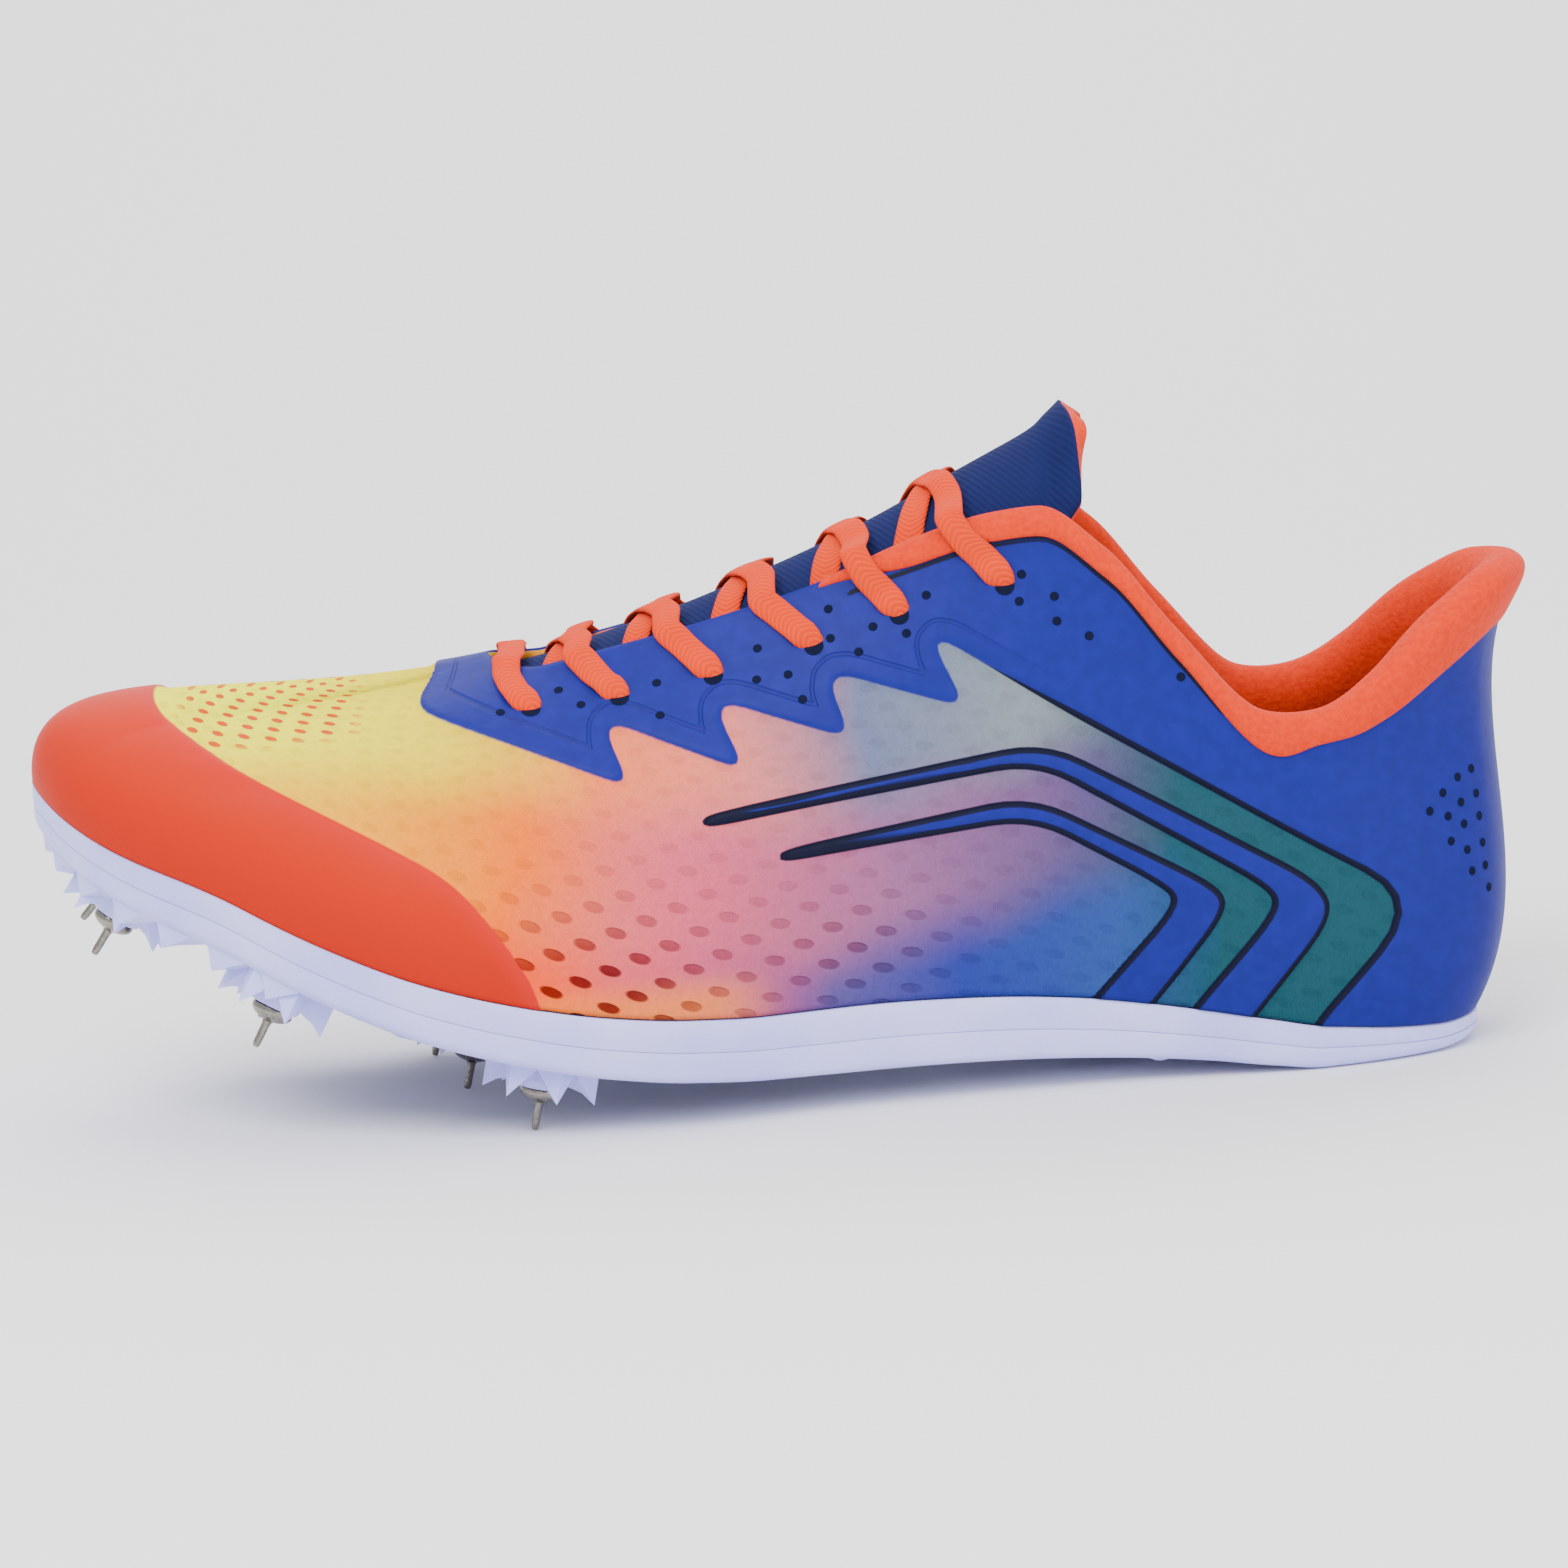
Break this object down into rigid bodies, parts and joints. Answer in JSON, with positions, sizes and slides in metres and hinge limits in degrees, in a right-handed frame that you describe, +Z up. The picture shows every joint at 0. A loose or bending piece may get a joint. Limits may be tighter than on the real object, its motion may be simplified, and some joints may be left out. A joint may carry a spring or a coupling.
{
  "type": "track spike shoe",
  "caption": "Left track sprint shoe: white spiked plate, printed knit upper with blue and orange overlays, orange collar and flat orange laces.",
  "frame": {"origin": "on the floor under the middle of the shoe's box, standing on its ball spikes and heel", "axes": "+Z up, +X from the toe to the heel, +Y towards the inner (medial) side of the left foot"},
  "size_m": [0.2924, 0.0955, 0.129],
  "materials": {
    "outsole_white": "moulded, satin",
    "midsole_white": "foam, matt",
    "board_black": "matt",
    "insole_grey": "brushed fabric",
    "knit": "knit with a printed gradient",
    "orange_film": "matt film",
    "collar_orange": "soft lining",
    "blue_film": "satin film",
    "tongue_navy": "mesh",
    "lace_orange": "woven flat lace",
    "steel": "turned"
  },
  "bodies": {
    "root": {"outsole": "outsole_white", "midsole": "midsole_white", "base_board": "board_black", "insole": "insole_grey", "upper": "knit", "tongue": "tongue_navy", "toe_cap": "orange_film", "quarter_overlay": "blue_film", "chevron_outer_lateral": "blue_film", "chevron_inner_lateral": "blue_film", "chevron_outer_medial": "blue_film", "chevron_inner_medial": "blue_film", "collar_lining": "collar_orange", "spike_centre": "steel", "spike_lateral_front": "steel", "spike_medial_front": "steel", "spike_toe_lateral": "steel", "spike_toe_medial": "steel", "spike_ball_lateral": "steel", "spike_ball_medial": "steel", "lace_bar": "lace_orange", "lace_crossing_1": "lace_orange", "lace_crossing_2": "lace_orange", "lace_crossing_3": "lace_orange", "lace_crossing_4": "lace_orange", "lace_crossing_5": "lace_orange"}
  },
  "joints": []
}
